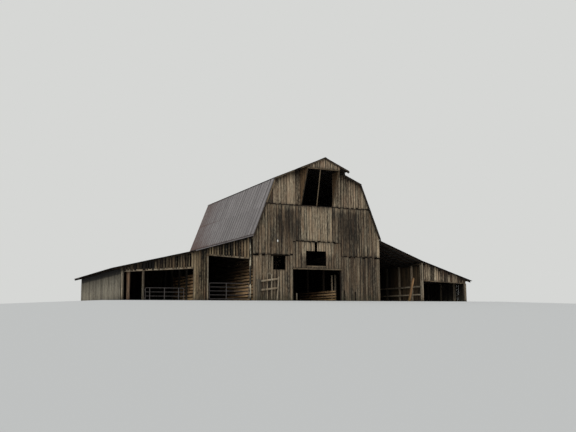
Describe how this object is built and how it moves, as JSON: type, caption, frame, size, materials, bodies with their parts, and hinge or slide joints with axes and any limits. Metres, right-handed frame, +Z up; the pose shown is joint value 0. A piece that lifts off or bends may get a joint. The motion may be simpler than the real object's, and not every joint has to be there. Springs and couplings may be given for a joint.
{
  "type": "gambrel livestock barn",
  "caption": "Weathered wooden gambrel barn with a hay hood, a wide central aisle and an open lean-to shed along each side, one closed by swinging tube gates.",
  "frame": {"origin": "centre of the footprint of the whole barn, sheds and hood included, at ground level", "axes": "+X across the front to the right as seen from in front, +Y from the gable front to the rear, +Z up"},
  "size_m": [33.2674, 17.75, 12.0223],
  "materials": {
    "grey_boards": "weathered silver-grey to brown upright boards, unpainted",
    "sheltered_boards": "browner boards that stand out of the rain",
    "old_timber": "rough-sawn posts, beams and rafters",
    "roof_sheet": "dull crimped steel sheet with rust bloom",
    "gate_steel": "dull galvanised tube with rust at the joints",
    "lamp": "white enamelled"
  },
  "bodies": {
    "barn": {"front_wall_left": "grey_boards", "front_wall_right": "grey_boards", "front_wall_middle": "grey_boards", "front_gable": "grey_boards", "rear_wall_lower": "grey_boards", "rear_wall_middle": "grey_boards", "rear_gable": "grey_boards", "left_shed_front_boards": "grey_boards", "left_shed_pier": "grey_boards", "left_shed_side_wall": "grey_boards", "left_shed_rear_wall": "grey_boards", "right_shed_front_boards": "grey_boards", "right_shed_side_wall": "grey_boards", "right_shed_rear_wall": "grey_boards", "front_centre_panel": "sheltered_boards", "hood_gable": "sheltered_boards", "hood_cheeks": "sheltered_boards", "side_wall_left": "sheltered_boards", "side_wall_right": "sheltered_boards", "left_shed_partition": "sheltered_boards", "aisle_rails": "sheltered_boards", "stall_rails": "sheltered_boards", "right_shed_partition": "sheltered_boards", "loft_floor": "sheltered_boards", "door_lintel": "old_timber", "front_framing": "old_timber", "hood_frame": "old_timber", "hood_header": "old_timber", "rake_boards": "old_timber", "front_rail_panel": "old_timber", "upper_rafters": "old_timber", "lower_rafters": "old_timber", "roof_beams": "old_timber", "barn_posts": "old_timber", "loft_joists": "old_timber", "rear_framing": "old_timber", "left_shed_rafters": "old_timber", "left_shed_beams": "old_timber", "left_shed_posts": "old_timber", "right_shed_rafters": "old_timber", "right_shed_beams": "old_timber", "right_shed_posts": "old_timber", "leaning_pole": "old_timber", "door_posts": "old_timber", "eave_blocks": "old_timber", "hood_roof": "roof_sheet", "main_roof_left": "roof_sheet", "main_roof_right": "roof_sheet", "ridge_cap": "roof_sheet", "left_shed_roof": "roof_sheet", "right_shed_roof": "roof_sheet", "gate_hooks": "gate_steel", "yard_lamp": "lamp"},
    "outer_gate": {"gate_outer": "gate_steel"},
    "inner_gate": {"gate_inner": "gate_steel"}
  },
  "joints": [
    {"name": "outer_gate_hinge", "type": "hinge", "parent": "barn", "child": "outer_gate", "pos_m": [-14.077, -7.327, 0], "axis": [0, 0, 1], "range_deg": [-90, 90]},
    {"name": "inner_gate_hinge", "type": "hinge", "parent": "barn", "child": "inner_gate", "pos_m": [-8.99, -7.327, 0], "axis": [0, 0, 1], "range_deg": [-90, 90]}
  ]
}
